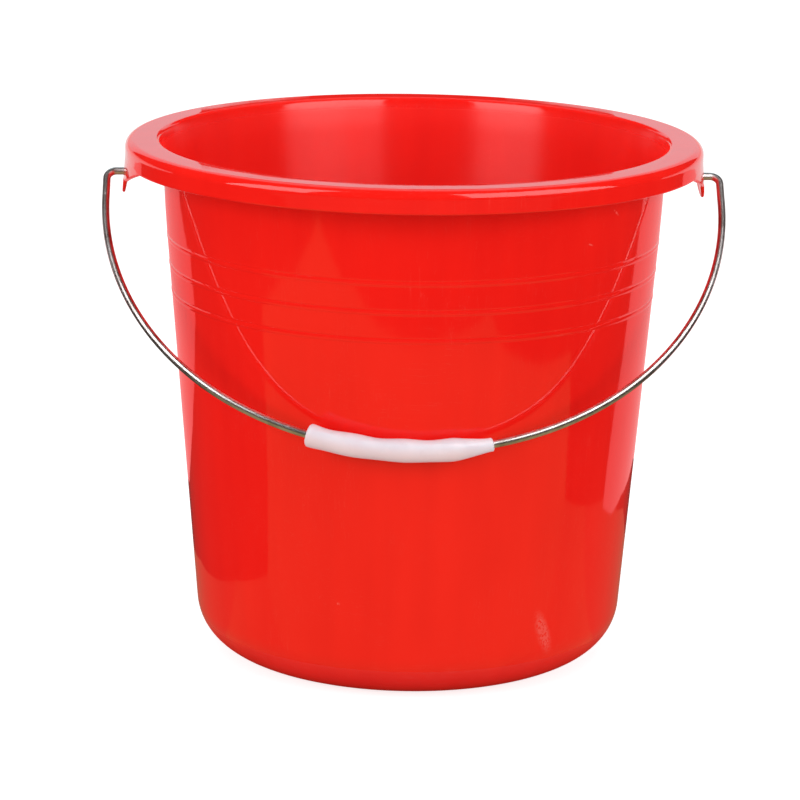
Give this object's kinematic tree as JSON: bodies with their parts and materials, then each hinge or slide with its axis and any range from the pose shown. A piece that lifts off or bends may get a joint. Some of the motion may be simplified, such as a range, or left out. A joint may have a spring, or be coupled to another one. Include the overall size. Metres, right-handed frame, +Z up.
{
  "type": "wash bucket",
  "caption": "Round tapered plastic wash bucket with a flat turned-down rim, moulded ears and a swinging steel wire bail with a finger-grip sleeve.",
  "frame": {"origin": "centre of the base, on the surface that the foot ring stands on", "axes": "+Z up along the bucket's axis; X along the bail's pivot axis; the bail rests at the -Y side, which is the front"},
  "size_m": [0.323, 0.3, 0.272],
  "materials": {
    "bucket_plastic": "glossy red moulded polypropylene with fine handling scratches",
    "bail_steel": "bright drawn steel wire",
    "grip_plastic": "semi-gloss milky white polyethylene"
  },
  "bodies": {
    "bucket": {"bucket_shell": "bucket_plastic"},
    "bail": {"bail_wire": "bail_steel", "grip": "grip_plastic"}
  },
  "joints": [
    {"name": "bail_swing", "type": "hinge", "parent": "bucket", "child": "bail", "pos_m": [0, 0, 0.2531], "axis": [-1, 0, 0], "range_deg": [0, 263.9]}
  ]
}
